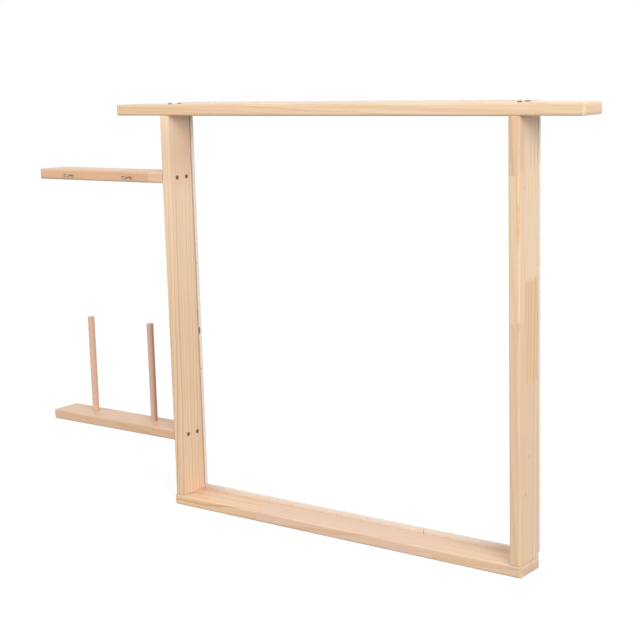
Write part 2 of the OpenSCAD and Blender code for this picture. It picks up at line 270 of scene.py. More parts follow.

# %% [markdown]
# ## The colour of pine
# Over the rings lie a slow drift between a pink and a yellow pine, streaks of fibre, short
# resin canals like pencil dashes, and end grain that is a little darker, picked out by the
# direction that a face looks in. A small knot is a brown cloud round a point. So is the
# painted shadow of a screw eye, with the stain round its shank, and so are large faint
# clouds of painted light and shade.
#
# Wood could be given one noise that is stretched along the grain, but its marks have very
# different lengths. So each kind of mark has a noise of its own, stretched to its own
# length and width, and lies on the ones before it.

# %% Early wood and late wood
# Noise cells in each metre: patches 110 mm long and 18 mm wide
DRIFT_CELLS = (9, 55, 55)


def pine_body(tree, turned, tint, bold, late_wood):
    """Pale wood that drifts between yellow and pink, with the late wood drawn over it."""
    broad = add(tree, "Mapping", {"Vector": turned, "Scale": DRIFT_CELLS})
    drift = add(tree, "TexNoise", {"Vector": broad, "Scale": 1.0, "Detail": 3.0})
    warmth = add(tree, "ValToRGB", {0: drift})
    ramp = warmth.color_ramp
    ramp.elements[0].position, ramp.elements[0].color = 0.35, colour("fffaf2")
    ramp.elements[1].position, ramp.elements[1].color = 0.65, colour("fff7fa")
    ramp.elements.new(0.5).color = colour("fffbfb")
    body = add(tree, "Mix", {0: 1.0, 6: tint, 7: warmth.outputs["Color"]}, data_type="RGBA",
               blend_type="MULTIPLY")
    line = add(tree, "Math", {0: late_wood, 1: bold}, operation="MULTIPLY", use_clamp=True)
    return add(tree, "Mix", {0: line, 6: body, 7: "c99564"}, data_type="RGBA")


print("patches of drift are", round(1000 / DRIFT_CELLS[1]), "mm wide")

# %% Fibres and resin canals
# Real fibres are a tenth of a millimetre wide, and all of these are drawn coarser to show:
# streaks 170 x 3 mm, fibres 45 x 0.9 mm and canals 5.6 x 0.7 mm, in noise cells per metre
STREAK_CELLS = (6, 330, 330)
FIBRE_CELLS = (22, 1100, 1100)
CANAL_CELLS = (180, 1500, 1500)
GLUE_DARK = 0.12


def pine_marks(tree, turned, body, glue):
    """Lays streaks, canals and glue lines on the wood; gives its colour and its fibres."""
    coarse = add(tree, "Mapping", {"Vector": turned, "Scale": STREAK_CELLS})
    streak = add(tree, "TexNoise", {"Vector": coarse, "Scale": 1.0, "Detail": 4.0})
    orange = add(tree, "MapRange", {0: streak, 1: 0.45, 2: 0.75, 3: 0.0, 4: 0.4})
    body = add(tree, "Mix", {0: orange, 6: body, 7: "dcb18a"}, data_type="RGBA")
    fine = add(tree, "Mapping", {"Vector": turned, "Scale": FIBRE_CELLS})
    fibre = add(tree, "TexNoise", {"Vector": fine, "Scale": 1.0, "Detail": 3.0})
    dash = add(tree, "Mapping", {"Vector": turned, "Scale": CANAL_CELLS})
    canal = add(tree, "TexNoise", {"Vector": dash, "Scale": 1.0, "Detail": 0.0})
    dark = add(tree, "MapRange", {0: canal, 1: 0.72, 2: 0.8, 3: 0.0, 4: 0.35})
    dark = add(tree, "Math", {0: glue, 1: GLUE_DARK, 2: dark}, operation="MULTIPLY_ADD")
    return add(tree, "Mix", {0: dark, 6: body, 7: "a8764b"}, data_type="RGBA"), fibre


print("the finest mark is", round(1000 / CANAL_CELLS[1], 1), "mm wide")

# %% Knots, painted light and shade, and sawn ends
# How far along the grain a face must look to count as an end, from hardly to fully
END_FROM, END_FULL = 0.75, 0.97
END_DARK = 0.2


def pine_spots(tree, place, body, spots):
    """Lays soft clouds on the wood; each has a centre, a size, a depth and a colour."""
    # Some of these clouds are knots and stains, and some are painted light and shade
    for centre, size, depth, shade in spots:
        out = add(tree, "VectorMath", {0: place.outputs["Object"], 1: centre}, operation="DISTANCE")
        near = add(tree, "MapRange", {0: out.outputs["Value"], 1: 0.0, 2: size, 3: depth, 4: 0.0})
        body = add(tree, "Mix", {0: near, 6: body, 7: shade}, data_type="RGBA")
    return body


def pine_ends(tree, place, grain, body):
    """Darkens the faces that are cut across the grain."""
    facing = add(tree, "Mapping", {"Vector": place.outputs["Normal"], "Rotation": grain})
    looks = add(tree, "SeparateXYZ", {0: facing})
    end_on = add(tree, "Math", {0: looks.outputs[0]}, operation="ABSOLUTE")
    end_in = add(tree, "MapRange", {0: end_on, 1: END_FROM, 2: END_FULL, 3: 0.0, 4: END_DARK})
    return add(tree, "Mix", {0: end_in, 6: body, 7: "c9a283"}, data_type="RGBA")


print("an end is", round(100 * END_DARK), "% on the way to brown")

# %% [markdown]
# ## The surface of pine
# A planer leaves pine smooth but not polished. Without varnish it still shines softly where
# light skims over it, so its roughness is only middling, and a faint sheen stands for the
# fuzz of cut fibres. Fibres and late wood stand a hair's breadth apart in height. Real
# dents could be cut into the mesh, but these are far too fine for it, so a bump is enough.

# %% The pine material
# How far the heart moves, back and across, from one glued length to the next
HEART_JUMP = (0, 0.03, 0.02)
FIBRE_SHADE, DARKEST_SHADE = 0.12, 0.94
PLANED_STEP = 0.0002


def pine(name, grain, heart, lengths, seed, rear=(), spots=()):
    """Planed pine; `heart` is the middle of its tree, back and across the board, in metres."""
    material, tree = new_material(name)
    place = add(tree, "TexCoord")
    turned = add(tree, "Mapping", {"Vector": place.outputs["Object"], "Rotation": grain})
    number, tint, bold, glue = glued_strips(tree, turned, lengths, rear, seed)
    chance = add(tree, "TexWhiteNoise", {"W": number}, noise_dimensions="1D")
    jump = add(tree, "VectorMath", {0: chance.outputs["Color"], 1: HEART_JUMP}, operation="MULTIPLY")
    late_wood = late_wood_at(tree, ring_count(tree, turned, jump, heart), number)
    body = pine_body(tree, turned, tint, bold, late_wood)
    body, fibre = pine_marks(tree, turned, body, glue)
    body = pine_spots(tree, place, body, spots)
    body = pine_ends(tree, place, grain, body)
    evenness = add(tree, "Math", {0: fibre, 1: FIBRE_SHADE, 2: DARKEST_SHADE}, operation="MULTIPLY_ADD")
    body = add(tree, "VectorMath", {0: body, "Scale": evenness}, operation="SCALE")
    height = add(tree, "Math", {0: late_wood, 1: -0.5, 2: fibre}, operation="MULTIPLY_ADD")
    bump = add(tree, "Bump", {"Height": height, "Strength": 0.22, "Distance": PLANED_STEP})
    shader = add(tree, "BsdfPrincipled", {"Base Color": body, "Roughness": 0.4, "IOR": 1.5, "Normal": bump,
                                          "Sheen Weight": 0.2, "Sheen Roughness": 0.35})
    add(tree, "OutputMaterial", {"Surface": shader})
    return material


print("pine is ready")

# %% [markdown]
# ## Which board gets which wood
# Every board is cut from another place in the tree, so each has its own heart and seed, and
# its glued lengths, each with the place where it starts, its tint and how bold its lines
# are. The heart lies behind the frame and a little to one side of each board, which draws
# lines along the wide faces and lets them run slantwise over the narrow fronts. Small spots
# are knots, or the painted shadow of a screw eye, laid below and beside its shank, with the
# stain round the shank. Large faint ones are painted light and shade. They make the top of
# the left post's front paler, the left end of the top rail darker, and the left post darker
# below the top rail, and one greyer cloud darkens the right end of the bottom rail. One
# material could serve all boards, cut from one block of wood, but then no board could be
# given its own tint.

# %% Where the screw eyes shade and stain the arm
# Painted shadow of each screw eye on the arm's front, a little right of and below its shank, together with
# the stain round the shank
EYE_SHADOW_AND_STAIN = "8a654a"
EYE_SHADOW_SIZE, EYE_SHADOW_DEPTH = 0.006, 0.65
EYE_SHADOW_ASIDE = 0.002
eye_shadows = []
board_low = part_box("guide_arm")[0]
for eye_node in ("screw_eye_inner", "screw_eye_outer"):
    low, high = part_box(eye_node)
    across = (low[0] + high[0]) / 2 + EYE_SHADOW_ASIDE
    up = (low[2] + high[2]) / 2 - EYE_SHADOW_ASIDE
    eye_shadows.append(((across, board_low[1], up), EYE_SHADOW_SIZE, EYE_SHADOW_DEPTH, EYE_SHADOW_AND_STAIN))
print("bruises:", len(eye_shadows))

# %% Give the boards their wood
ALONG_X = (0, 0, 0)
ALONG_Z = (0, math.radians(90), 0)
# The first length of a board starts somewhere outside of it
OUTSIDE = -1
KNOT = "b27a4a"
BOARDS = {
    # The top rail: a darker cloud over its left end is painted shade
    "top_rail": dict(grain=ALONG_X, heart=(0.13, 0.66), seed=3.0, lengths=((OUTSIDE, "ecd3ae", 0.4),),
                     spots=(((-0.4785, -0.03, 0.74), 0.55, 0.45, "d6aa76"),)),
    # The bottom rail: a small greyer cloud darkens its right end
    "bottom_rail": dict(grain=ALONG_X, heart=(0.12, 0.06), seed=11.0,
                        lengths=((OUTSIDE, "ebcca6", 0.8), (-0.166, "e6cab0", 0.5), (0.213, "e6cba9", 0.7)),
                        spots=(((0.373, 0, 0.01), 0.05, 0.6, "c8b0a0"),)),
    # The left post: a large pale cloud at the top of its front is painted light, and a darker pink one below
    # the top rail is painted shade
    "left_post": dict(grain=ALONG_Z, heart=(0.13, 0.28), seed=23.0, lengths=((OUTSIDE, "ebd0ae", 0.8),),
                      spots=(((-0.36, -0.035, 0.73), 0.4, 0.5, "fbe6c8"),
                             ((-0.35, 0.015, 0.66), 0.08, 0.7, "dcae92"))),
    "right_post": dict(grain=ALONG_Z, heart=(0.12, -0.29), seed=31.0,
                       lengths=((OUTSIDE, "e2c7a6", 0.6), (0.42, "e9cfad", 0.5), (0.649, "e3c2a4", 0.6)),
                       rear=((OUTSIDE, "e1c8ac", 0.6), (0.317, "e4c29a", 0.8),
                             (0.481, "e9d4b3", 0.4), (0.649, "e9d2b7", 0.6)),
                       spots=(((0.370, -0.014, 0.6205), 0.004, 0.5, KNOT),
                              ((0.370, -0.012, 0.1345), 0.005, 0.5, KNOT),
                              ((0.370, 0.001, 0.195), 0.004, 0.5, KNOT))),
    "guide_arm": dict(grain=ALONG_X, heart=(0.10, 0.58), seed=43.0,
                      lengths=((OUTSIDE, "dcb48d", 0.8), (-0.397, "e6c7a2", 0.6)), spots=eye_shadows),
    "yarn_shelf": dict(grain=ALONG_X, heart=(0.11, 0.10), seed=57.0,
                       lengths=((OUTSIDE, "d9b99a", 0.4), (-0.511, "d8b698", 0.5))),
}
for board, wood in BOARDS.items():
    nodes[board].material_slots[0].material = pine("planed_pine_" + board, **wood)
print("pine boards:", len(BOARDS))

# %% [markdown]
# ## Beech dowel
# The pegs are cut from turned beech dowel. Beech is pinker and closer in grain than pine,
# without rings that show at this size, and is known by its flecks: short, fine, darker
# dashes all over, which are the ends of its rays. So two noises stretched along the peg are
# enough, one for the fibres and one, cut off high, for the flecks. Each peg is also darker
# towards the side that faces the left post. That is painted shade, strongest on the inner
# peg, which stands nearest the post.

# %% The dowel material
# Noise cells in each metre, with the grain along Z: fibres 1.4 mm wide and 100 mm long,
# which are drawn coarser than the real ones to show, and flecks 0.7 x 2.9 mm
PEG_FIBRE_CELLS = (700, 700, 10)
PEG_FLECK_CELLS = (1400, 1400, 350)
# Painted shade darkens this side of the peg, towards the left post, between these distances from its middle
SHADED_SIDE = (0.8, 0.6, 0)
SHADE_FROM, SHADE_FULL = -0.001, 0.006


def dowel(name, middle, light, deep, side_shade):
    """Turned beech dowel round `middle`, darkened by painted shade on the side towards the post."""
    material, tree = new_material(name)
    place = add(tree, "TexCoord")
    long = add(tree, "Mapping", {"Vector": place.outputs["Object"], "Scale": PEG_FIBRE_CELLS})
    fibre = add(tree, "TexNoise", {"Vector": long, "Scale": 1.0, "Detail": 3.0})
    body = add(tree, "Mix", {0: fibre, 6: light, 7: deep}, data_type="RGBA")
    short = add(tree, "Mapping", {"Vector": place.outputs["Object"], "Scale": PEG_FLECK_CELLS})
    fleck = add(tree, "TexNoise", {"Vector": short, "Scale": 1.0, "Detail": 0.0})
    marks = add(tree, "MapRange", {0: fleck, 1: 0.62, 2: 0.72, 3: 0.0, 4: 0.45})
    body = add(tree, "Mix", {0: marks, 6: body, 7: "9c6e52"}, data_type="RGBA")
    out = add(tree, "VectorMath", {0: place.outputs["Object"], 1: middle}, operation="SUBTRACT")
    aside = add(tree, "VectorMath", {0: out, 1: SHADED_SIDE}, operation="DOT_PRODUCT")
    # Painted shade: the side of the peg that faces the left post is darkened
    side_shaded = add(tree, "MapRange", {0: aside.outputs["Value"], 1: SHADE_FROM, 2: SHADE_FULL, 3: 0.0, 4: side_shade})
    body = add(tree, "Mix", {0: side_shaded, 6: body, 7: "8c5f49"}, data_type="RGBA")
    bump = add(tree, "Bump", {"Height": fibre, "Strength": 0.2, "Distance": 0.0001})
    shader = add(tree, "BsdfPrincipled", {"Base Color": body, "Roughness": 0.5, "Normal": bump})
    add(tree, "OutputMaterial", {"Surface": shader})
    return material


print("flecks are", round(1000 / PEG_FLECK_CELLS[2], 1), "mm long")

# %% Give the pegs their beech
PEG_SHADES = {"yarn_peg_inner": ("e4c2ac", "c7a18b", 0.65), "yarn_peg_outer": ("e8c2aa", "d3a98f", 0.15)}
for peg, shades in PEG_SHADES.items():
    low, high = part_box(peg)
    nodes[peg].material_slots[0].material = dowel("turned_beech_" + peg, (low + high) / 2, *shades)
print("pegs with a beech finish:", len(PEG_SHADES))

# %% [markdown]
# ## Plywood strips
# The tack strips are sawn from birch plywood seven millimetres thick. A face of it is one
# peeled sheet of veneer, pale tan with long, soft, cloudy grain, because the blade follows
# the rings. Its sawn edges are nearly white and show the plies, which turn light and dark in
# layers a little over a millimetre thick, because every other one is cut across its fibres.
# The layers lie behind each other along Y, so the depth of a point says which ply it is in,
# and Ping-Pong turns that into a zigzag. The side of a strip that lies on the wood only
# shows as a line beside a post or a rail. It is painted darker there, as painted shade in
# the narrow groove that it makes.

# %% Sawn edges and their plies
PLY = 0.0014
# Noise cells in each metre: clouds 17 mm wide
CLOUD_CELLS = 60.0
PLY_DARK = 0.28


def sawn_edges(tree, place, parts, facing):
    """The plies, which show on the sawn edges and fade out on the faces of the sheet."""
    ply = add(tree, "Math", {0: parts.outputs[1], 1: PLY}, operation="PINGPONG")
    across = add(tree, "Math", {0: ply, 1: PLY / 2}, operation="GREATER_THAN")
    flat = add(tree, "Math", {0: facing.outputs[1]}, operation="ABSOLUTE")
    edge = add(tree, "MapRange", {0: flat, 1: 0.6, 2: 0.9, 3: PLY_DARK, 4: 0.0})
    layer = add(tree, "Math", {0: across, 1: edge}, operation="MULTIPLY")
    cloud = add(tree, "TexNoise", {"Vector": place.outputs["Object"], "Scale": CLOUD_CELLS, "Detail": 3.0})
    sawn = add(tree, "Mix", {0: cloud, 6: "f6efe4", 7: "ecdfd0"}, data_type="RGBA")
    return add(tree, "Mix", {0: layer, 6: sawn, 7: "c39b76"}, data_type="RGBA")


low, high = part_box("left_tack_strip")
print("a strip has", round((high[1] - low[1]) / PLY), "plies")

# %% Peeled veneer
# Noise cells in each metre: clouds of grain 83 x 9 mm, and pores 25 x 0.8 mm, which are
# drawn coarser than the real ones to show
FIGURE_CELLS = (12, 110, 110)
PORE_CELLS = (40, 1200, 1200)


def peeled_veneer(tree, place, grain):
    """The colour of the outer sheet, and its fibres."""
    turned = add(tree, "Mapping", {"Vector": place.outputs["Object"], "Rotation": grain})
    wide = add(tree, "Mapping", {"Vector": turned, "Scale": FIGURE_CELLS})
    figure = add(tree, "TexNoise", {"Vector": wide, "Scale": 1.0, "Detail": 4.0, "Distortion": 0.6})
    spread = add(tree, "MapRange", {0: figure, 1: 0.35, 2: 0.65})
    veneer = add(tree, "Mix", {0: spread, 6: "f2dcc4", 7: "e0c0a0"}, data_type="RGBA")
    fine = add(tree, "Mapping", {"Vector": turned, "Scale": PORE_CELLS})
    fibre = add(tree, "TexNoise", {"Vector": fine, "Scale": 1.0, "Detail": 3.0})
    pores = add(tree, "MapRange", {0: fibre, 1: 0.55, 2: 0.75, 3: 0.0, 4: 0.35})
    return add(tree, "Mix", {0: pores, 6: veneer, 7: "b98f66"}, data_type="RGBA"), fibre


print("pores are", round(1000 / PORE_CELLS[0]), "mm long")

# %% [markdown]
# ## Voids in the plywood
# Cheap plywood has voids, short gaps where a ply is missing, which look like dark lenses
# on a sawn edge. The left strip has a few on the edge that looks into the opening.
# They could be cut with a Boolean, but they are shallow and the solid's mesh stays as it
# is. So each is painted, a dark lens whose darkness is painted shade, standing in for the
# shadow inside the gap. It is a stretched ball: the way from its middle is measured in half
# depths and half lengths, and where that comes to less than one, the point is in the void.

# %% Voids
VOID_HALF_DEPTH = 0.0024
# The rim of a void is soft, between these shares of its size
VOID_FULL, VOID_RIM = 0.85, 1.15


def ply_voids(tree, place, facing, body, middle, voids):
    """Dark lenses on the edge towards +X; each has a height, a half length and a strength."""
    inner_edge = add(tree, "Math", {0: facing.outputs[0], 1: 0.5}, operation="GREATER_THAN")
    for height, half, strength in voids:
        out = add(tree, "VectorMath", {0: place.outputs["Object"], 1: (0, middle, height)},
                  operation="SUBTRACT")
        lens = add(tree, "VectorMath", {0: out, 1: (0, 1 / VOID_HALF_DEPTH, 1 / half)},
                   operation="MULTIPLY")
        size = add(tree, "VectorMath", {0: lens}, operation="LENGTH")
        gap = add(tree, "MapRange", {0: size.outputs["Value"], 1: VOID_FULL, 2: VOID_RIM,
                                     3: strength, 4: 0.0})
        gap = add(tree, "Math", {0: gap, 1: inner_edge}, operation="MULTIPLY")
        # Painted shade: the dark inside of each void, standing in for the shadow in the gap
        body = add(tree, "Mix", {0: gap, 6: body, 7: "5a2a0e"}, data_type="RGBA")
    return body


print("a void reaches", round(1000 * (VOID_HALF_DEPTH + PLY / 2), 1), "mm into the strip")

# %% The plywood material
def plywood(name, grain, groove_shade, middle=0.0, voids=()):
    """Sawn plywood with plies stacked along Y, and voids in the ply at the depth `middle`."""
    material, tree = new_material(name)
    place = add(tree, "TexCoord")
    parts = add(tree, "SeparateXYZ", {0: place.outputs["Object"]})
    facing = add(tree, "SeparateXYZ", {0: place.outputs["Normal"]})
    body = sawn_edges(tree, place, parts, facing)
    veneer, fibre = peeled_veneer(tree, place, grain)
    outside = add(tree, "MapRange", {0: facing.outputs[1], 1: 0.5, 2: 0.9})
    body = add(tree, "Mix", {0: outside, 6: body, 7: veneer}, data_type="RGBA")
    # Painted shade: faces that look to the front, the side that lies on the wood, are darkened where they
    # show as a groove beside a post or a rail
    groove_side = add(tree, "MapRange", {0: facing.outputs[1], 1: -0.9, 2: -0.5, 3: groove_shade, 4: 0.0})
    body = add(tree, "Mix", {0: groove_side, 6: body, 7: "8f5622"}, data_type="RGBA")
    body = ply_voids(tree, place, facing, body, middle, voids)
    bump = add(tree, "Bump", {"Height": fibre, "Strength": 0.3, "Distance": 0.0001})
    shader = add(tree, "BsdfPrincipled", {"Base Color": body, "Roughness": 0.65, "Normal": bump})
    add(tree, "OutputMaterial", {"Surface": shader})
    return material


print("plywood is ready")

# %% Give the strips their plywood
strips = [name for name in nodes if "tack_strip" in name]
first_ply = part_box("left_tack_strip")[0][1] + PLY / 2
VOIDS = ((0.3268, 0.0068, 1.0), (0.4545, 0.002, 0.4), (0.4906, 0.002, 0.2), (0.2535, 0.0018, 0.5))
STRIP_FINISH = {
    "left_tack_strip": plywood("sawn_birch_plywood_with_voids", ALONG_Z, 0.35, first_ply, VOIDS),
    "right_tack_strip": plywood("sawn_birch_plywood_beside_post", ALONG_Z, 0.12),
}
plain = plywood("sawn_birch_plywood", ALONG_X, 0.18)
for strip in strips:
    nodes[strip].material_slots[0].material = STRIP_FINISH.get(strip, plain)
print("plywood strips:", len(strips))

# %% [markdown]
# ## Metals
# Three metals are left as they come from the maker. The screw eyes are zinc plated and dull,
# and the dark patches on them are partly the patchy plating and partly painted reflection,
# standing in for the dark surroundings that the rings mirror. The wood screws are bronzed,
# which is a thin brown oxide over steel that shines through where the driver rubbed, and the
# pins and nails are bright drawn steel with a trace of oil. A plain metal shader could be
# given one shade and one roughness, but no plating is that even. So on all three, a cloudy
# noise moves both together, because where a plating is thinner it is also rougher.

# %% The metal materials
ROUGHNESS_DRIFT = 0.2


def metal(name, shade, dark, rough, cloud_size):
    """A metal whose shade and shine drift over clouds of the given size, in metres."""
    material, tree = new_material(name)
    place = add(tree, "TexCoord")
    cloud = add(tree, "TexNoise", {"Vector": place.outputs["Object"], "Scale": 1 / cloud_size, "Detail": 3.0})
    body = add(tree, "Mix", {0: cloud, 6: shade, 7: dark}, data_type="RGBA")
    spread = add(tree, "Math", {0: cloud, 1: ROUGHNESS_DRIFT, 2: rough}, operation="MULTIPLY_ADD")
    shader = add(tree, "BsdfPrincipled", {"Base Color": body, "Roughness": spread, "Metallic": 1.0})
    add(tree, "OutputMaterial", {"Surface": shader})
    return material


METALS = {
    # The dark clouds on the zinc are partly patchy plating and partly painted reflection of dark surroundings
    "zinc": metal("zinc_plated_steel_wire", "c8bab0", "6a594e", 0.25, 0.004),
    "bronzed": metal("bronzed_steel_screw", "9a765a", "604838", 0.35, 0.001),
    "bright": metal("drawn_steel_pin", "c4c6c9", "9ea1a5", 0.25, 0.001),
}
print("metals:", sorted(METALS))

# %% Give the hardware its metals
for node_name, node in nodes.items():
    if node_name.startswith("screw_eye"):
        node.material_slots[0].material = METALS["zinc"]
    elif node_name.endswith("_screws"):
        node.material_slots[0].material = METALS["bronzed"]
    elif node_name.endswith("_pins") or node_name == "strip_nails":
        node.material_slots[0].material = METALS["bright"]
print("finished nodes:", sum(1 for node in nodes.values() if node.material_slots[0].material))

# %% [markdown]
# ## Modelling by hand
# The heads of the screws and the two screw eyes are the only metal that shows from the
# front, so they get the shape that they are stamped and bent into. Each starts as a
# primitive in edit mode and grows by extruding, bevelling and spinning. An operator works
# on whatever is selected, so these helpers do what the hand and the mouse would: one adds a
# primitive with nothing else selected, one selects a finished object alone, and one picks
# faces by where they look or lie.

# %% Start a piece and pick its faces
def start_piece(name, primitive, **settings):
    """Adds one primitive with nothing else selected, and opens it in edit mode."""
    bpy.ops.object.select_all(action="DESELECT")
    primitive(**settings)
    piece = bpy.context.object
    piece.name = piece.data.name = name
    bpy.ops.object.mode_set(mode="EDIT")
    return piece


def alone(piece):
    """Back in object mode, selects a piece and nothing else."""
    if bpy.context.mode != "OBJECT":
        bpy.ops.object.mode_set(mode="OBJECT")
    bpy.ops.object.select_all(action="DESELECT")
    piece.select_set(True)
    bpy.context.view_layer.objects.active = piece


def pick_faces(piece, chosen):
    """Selects only the faces that `chosen` says yes to."""
    bpy.ops.mesh.select_mode(type="FACE")
    bpy.ops.mesh.select_all(action="DESELECT")
    shape = bmesh.from_edit_mesh(piece.data)
    for face in shape.faces:
        face.select_set(chosen(face))
    shape.select_flush_mode()
    bmesh.update_edit_mesh(piece.data)


print("helpers for selecting are ready")

# %% [markdown]
# ## The blank of a wood screw
# A countersunk screw is headed from wire: a thin rim, a cone that draws it flush with the
# wood, a plain shank for the first board and a thread for the second. It could be spun from
# half an outline. Here the head starts as a low cylinder whose underside is drawn out again
# and again, narrower each time, as the header squeezes the wire. The core of the thread
# stays inside the pilot hole of the solid board, and so does its crest.

# %% Draw out an end
def bake_place(piece):
    """Writes the place, turn and scale of a piece into its mesh."""
    alone(piece)
    bpy.ops.object.transform_apply(location=True, rotation=True, scale=True)


def draw_out(depth, radius, stations):
    """Extrudes the picked end down the Z axis, through the (depth, radius) stations."""
    for next_depth, next_radius in stations:
        bpy.ops.mesh.extrude_region_move(TRANSFORM_OT_translate={"value": (0, 0, depth - next_depth)})
        grow = next_radius / radius
        bpy.ops.transform.resize(value=(grow, grow, 1), center_override=(0, 0, -next_depth))
        depth, radius = next_depth, next_radius


print("helpers for drawing out are ready")

# %% One wood screw
low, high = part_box("guide_arm_screws")
SCREW_LEN = high[0] - low[0]
HEAD_R = (high[2] - low[2]) / 2
RIM_H, RIM_ROUND, CONE_H = 0.0005, 0.00015, 0.0024
SHANK_R, SHANK_END = 0.002, 0.0195
CORE_R, TIP_LEN = 0.0011, 0.004
# The tip ends in a small flat, this share of the core
BLUNT = 0.1
# A face looks squarely along an axis when its normal is within 25 degrees of it
SQUARELY = 0.9

screw = start_piece("wood_screw", bpy.ops.mesh.primitive_cylinder_add, vertices=32,
                    radius=HEAD_R, depth=RIM_H, location=(0, 0, -RIM_H / 2))
bake_place(screw)
bpy.ops.object.mode_set(mode="EDIT")
pick_faces(screw, lambda face: face.normal.z < -SQUARELY)
draw_out(RIM_H, HEAD_R, [(RIM_H + CONE_H, SHANK_R), (SHANK_END, SHANK_R),
                         (SHANK_END + SHANK_R - CORE_R, CORE_R), (SCREW_LEN - TIP_LEN, CORE_R),
                         (SCREW_LEN, BLUNT * CORE_R)])
pick_faces(screw, lambda face: face.normal.z > SQUARELY)
bpy.ops.mesh.bevel(offset=RIM_ROUND, segments=2, affect="EDGES")
alone(screw)
print("blank of a screw:", [round(1000 * d, 2) for d in screw.dimensions], "mm")

# %% [markdown]
# ## The cross
# The driver's cross is pressed into the head and narrows towards its floor. It is modelled
# as the punch that makes it, a small block with four arms drawn out of it, and a Boolean
# presses it in. A bump would look much the same from above, but not from the side.

# %% Press in the cross
CROSS_W, CROSS_LEN, CROSS_DEEP = 0.0009, 0.0044, 0.0017
# The punch narrows to this share of its width
CROSS_FLOOR = 0.4
# A side of the block itself lies this near to its middle, and no side of an arm does
OWN_SIDE = 0.6 * CROSS_W


def apply_modifier(piece, kind, **settings):
    """Adds a modifier to a piece and applies it at once."""
    alone(piece)
    modifier = piece.modifiers.new(kind.lower(), kind)
    for name, value in settings.items():
        setattr(modifier, name, value)
    bpy.ops.object.modifier_apply(modifier=modifier.name)


cross = start_piece("cross", bpy.ops.mesh.primitive_cube_add, size=CROSS_W)
arm = (CROSS_LEN - CROSS_W) / 2
for side in ((1, 0, 0), (-1, 0, 0), (0, 1, 0), (0, -1, 0)):
    pick_faces(cross, lambda face: face.normal.dot(Vector(side)) > SQUARELY
               and face.calc_center_median().length < OWN_SIDE)
    bpy.ops.mesh.extrude_region_move(TRANSFORM_OT_translate={"value": Vector(side) * arm})
pick_faces(cross, lambda face: face.normal.z < -SQUARELY)
bpy.ops.transform.resize(value=(CROSS_FLOOR, CROSS_FLOOR, 1), center_override=(0, 0, 0))
alone(cross)
cross.scale = (1, 1, 2 * CROSS_DEEP / CROSS_W)
bake_place(cross)
apply_modifier(screw, "BOOLEAN", object=cross, operation="DIFFERENCE", solver="EXACT")
bpy.data.objects.remove(cross)
print("screw with its cross:", len(screw.data.polygons), "faces")

# %% [markdown]
# ## A thread
# A rolled thread is one ridge wound round a core. It could be drawn point by point, but a
# triangle wound by the Screw modifier makes the same ridge from three points. The ridge is
# open where it starts and stops, so its two ends are filled. Over the tip its points are
# pulled in towards the axis, as a real thread narrows with its screw.

# %% Wind a thread
THREAD_STEPS = 14
TIP_WIDTH = 0.15


def wind_thread(root, crest, pitch, start, end, tip):
    """A ridge round the Z axis between two depths, which narrows over the tip."""
    rise = crest - root
    ridge = start_piece("thread", bpy.ops.mesh.primitive_circle_add, vertices=3, radius=rise,
                        rotation=(math.pi / 2, 0, -math.pi / 2), location=(crest - rise, 0, -end + rise))
    bake_place(ridge)
    turns = int((end - start) / pitch - 1)
    apply_modifier(ridge, "SCREW", axis="Z", steps=THREAD_STEPS, render_steps=THREAD_STEPS,
                   iterations=turns, screw_offset=pitch, use_normal_calculate=True)
    bpy.ops.object.mode_set(mode="EDIT")
    bpy.ops.mesh.select_all(action="SELECT")
    bpy.ops.mesh.fill_holes(sides=3)
    bpy.ops.mesh.normals_make_consistent(inside=False)
    bpy.ops.object.mode_set(mode="OBJECT")
    for point in ridge.data.vertices:
        narrow = min(1.0, TIP_WIDTH + (1 - TIP_WIDTH) * (point.co.z + end) / tip)
        point.co.x *= narrow
        point.co.y *= narrow
    return ridge


def join(piece, other):
    """Makes another object part of a piece."""
    alone(piece)
    other.select_set(True)
    bpy.ops.object.join()


print("a thread has", THREAD_STEPS, "steps in a turn")

# %% Thread the screw
CREST_R, THREAD_PITCH = 0.00142, 0.0018
THREAD_START = SHANK_END + 0.002
SCREW_SMOOTH = math.radians(35)
join(screw, wind_thread(CORE_R, CREST_R, THREAD_PITCH, THREAD_START, SCREW_LEN, TIP_LEN))
alone(screw)
bpy.ops.object.shade_smooth_by_angle(angle=SCREW_SMOOTH)
screw.data.materials.append(METALS["bronzed"])
print("screw with its thread:", len(screw.data.polygons), "faces")

# %% [markdown]
# ## Twelve screws in their places
# Two screws hold each joint, 25 mm apart. The heads look up on the top rail, down under the
# bottom rail and towards the opening on the left post. Linked copies would share one mesh,
# but each piece keeps its place in its own, so the first screw is copied with its mesh. No
# one lines up the crosses of screws, so each is turned by its own amount.

# %% Place the screws
LOOKS_UP = Matrix.Identity(4)
LOOKS_DOWN = Matrix.Rotation(math.pi, 4, "X")
LOOKS_RIGHT = Matrix.Rotation(math.pi / 2, 4, "Y")
HEADS = {"top_left_screws": LOOKS_UP, "top_right_screws": LOOKS_UP,
         "bottom_left_screws": LOOKS_DOWN, "bottom_right_screws": LOOKS_DOWN,
         "guide_arm_screws": LOOKS_RIGHT, "yarn_shelf_screws": LOOKS_RIGHT}
TURN_STEP = 37


def copy_piece(piece, name, matrix):
    """A copy with a mesh of its own, which holds its place."""
    twin = piece.copy()
    twin.data = piece.data.copy()
    twin.name = twin.data.name = name
    bpy.context.scene.collection.objects.link(twin)
    alone(twin)
    twin.matrix_world = matrix
    bake_place(twin)
    return twin


